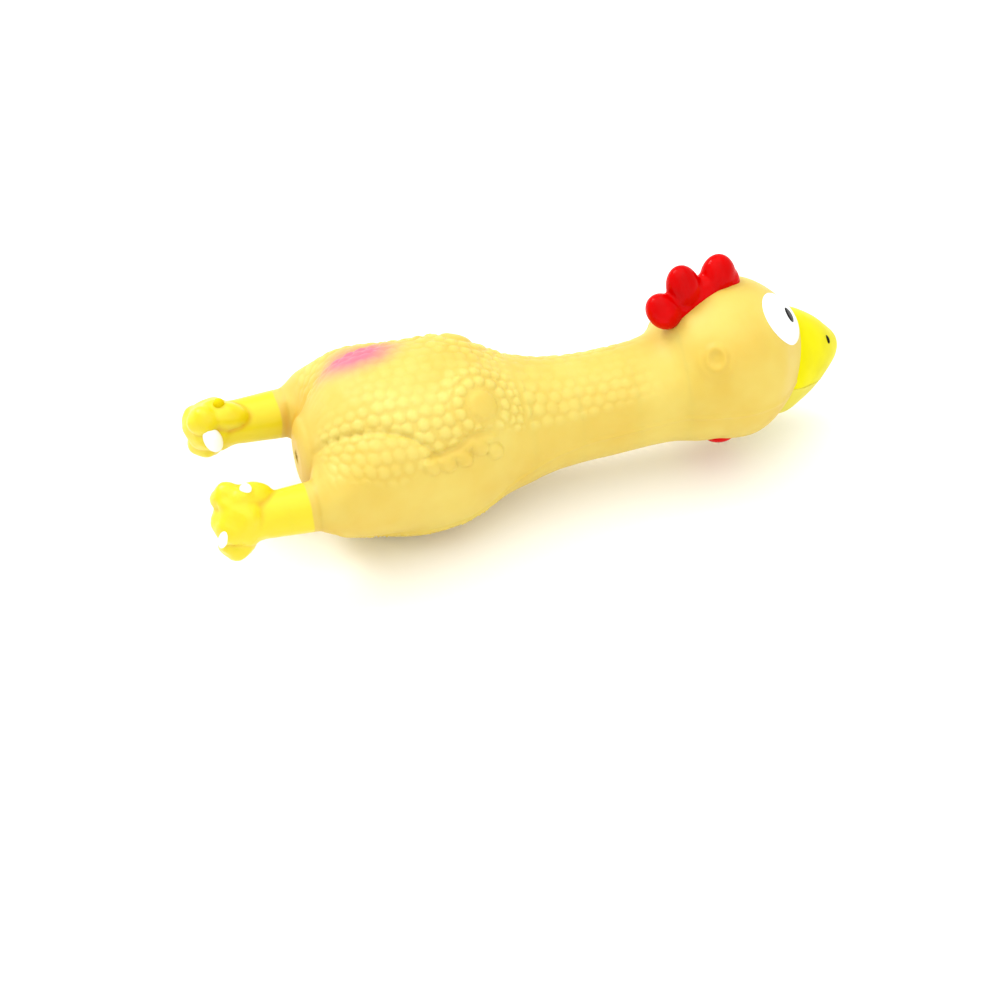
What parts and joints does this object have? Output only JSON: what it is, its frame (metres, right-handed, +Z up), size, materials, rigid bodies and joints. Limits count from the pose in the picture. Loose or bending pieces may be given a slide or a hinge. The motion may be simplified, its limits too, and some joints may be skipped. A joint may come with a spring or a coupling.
{
  "type": "rubber chicken",
  "caption": "Hollow squeaky latex rubber chicken lying on its belly, with a bending neck, swinging legs, a press-in back and a reed squeaker in its rump.",
  "frame": {"origin": "centre of the toy's box, on the surface that it lies on", "axes": "+X along the toy from feet to beak, +Y to its left side, +Z up through its back; it lies on its belly"},
  "size_m": [0.1707, 0.0524, 0.0559],
  "materials": {
    "cream_latex": "matte slush-moulded latex, pebbled, airbrushed pink on the rump",
    "yellow_painted_latex": "satin lemon-yellow paint on latex",
    "red_painted_latex": "glossy red paint on latex",
    "white_paint": "glossy white paint on latex",
    "black_paint": "glossy black paint on latex",
    "squeaker_plastic": "natural moulded polyethylene",
    "reed_brass": "rolled brass strip"
  },
  "bodies": {
    "torso": {"torso_skin": "cream_latex", "neck_root_fold": "cream_latex", "left_hip_fold": "yellow_painted_latex", "right_hip_fold": "yellow_painted_latex", "squeaker_cup": "squeaker_plastic", "squeaker_cap": "squeaker_plastic", "reed_block": "squeaker_plastic"},
    "back_panel": {"back_press_panel": "cream_latex"},
    "neck_lower": {"neck_lower_tube": "cream_latex", "neck_middle_fold": "cream_latex"},
    "neck_upper": {"neck_upper_tube": "cream_latex", "neck_head_fold": "cream_latex"},
    "head": {"head_skin": "cream_latex", "comb": "red_painted_latex", "wattle": "red_painted_latex", "upper_beak": "yellow_painted_latex", "lower_beak": "yellow_painted_latex", "left_eye": "white_paint", "right_eye": "white_paint", "left_pupil": "black_paint", "right_pupil": "black_paint", "left_nostril": "black_paint", "right_nostril": "black_paint"},
    "reed": {"squeaker_reed": "reed_brass"},
    "left_shank": {"left_leg_shank": "yellow_painted_latex", "left_ankle_fold": "yellow_painted_latex"},
    "left_foot": {"left_foot": "yellow_painted_latex", "left_top_claw": "white_paint", "left_outer_claw": "white_paint", "left_inner_claw": "white_paint"},
    "right_shank": {"right_leg_shank": "yellow_painted_latex", "right_ankle_fold": "yellow_painted_latex"},
    "right_foot": {"right_foot": "yellow_painted_latex", "right_top_claw": "white_paint", "right_outer_claw": "white_paint", "right_inner_claw": "white_paint"}
  },
  "joints": [
    {"name": "back_squeeze", "type": "slide", "parent": "torso", "child": "back_panel", "axis": [0, 0, -1], "range_m": [0, 0.008], "stiffness_N_per_m": 400},
    {"name": "neck_nod", "type": "hinge", "parent": "torso", "child": "neck_lower", "pos_m": [0.00329, 0, 0.0226], "axis": [0, 1, 0], "range_deg": [-25, 25], "stiffness_Nm_per_rad": 1.5, "deforming": ["neck_root_fold"]},
    {"name": "neck_swing", "type": "hinge", "parent": "neck_lower", "child": "neck_upper", "pos_m": [0.01849, 0, 0.0225], "axis": [0, 0, 1], "range_deg": [-25, 25], "stiffness_Nm_per_rad": 1.2, "deforming": ["neck_middle_fold"]},
    {"name": "head_nod", "type": "hinge", "parent": "neck_upper", "child": "head", "pos_m": [0.03369, 0.0003, 0.0236], "axis": [0, 1, 0], "range_deg": [-25, 25], "stiffness_Nm_per_rad": 1.2, "deforming": ["neck_head_fold"]},
    {"name": "reed_flutter", "type": "hinge", "parent": "torso", "child": "reed", "pos_m": [-0.05601, 0, 0.02504], "axis": [0, 1, 0], "range_deg": [-6, 6], "stiffness_Nm_per_rad": 0.0001},
    {"name": "left_leg_swing", "type": "hinge", "parent": "torso", "child": "left_shank", "pos_m": [-0.06221, 0.0174, 0.0239], "axis": [0, 1, 0], "range_deg": [-30, 30], "stiffness_Nm_per_rad": 0.2, "deforming": ["left_hip_fold"]},
    {"name": "left_ankle_bend", "type": "hinge", "parent": "left_shank", "child": "left_foot", "pos_m": [-0.07061, 0.0174, 0.0239], "axis": [0, 0, 1], "range_deg": [-25, 25], "stiffness_Nm_per_rad": 0.15, "deforming": ["left_ankle_fold"]},
    {"name": "right_leg_swing", "type": "hinge", "parent": "torso", "child": "right_shank", "pos_m": [-0.06221, -0.0174, 0.0239], "axis": [0, 1, 0], "range_deg": [-30, 30], "stiffness_Nm_per_rad": 0.2, "deforming": ["right_hip_fold"]},
    {"name": "right_ankle_bend", "type": "hinge", "parent": "right_shank", "child": "right_foot", "pos_m": [-0.07061, -0.0174, 0.0239], "axis": [0, 0, 1], "range_deg": [-25, 25], "stiffness_Nm_per_rad": 0.15, "deforming": ["right_ankle_fold"]}
  ]
}
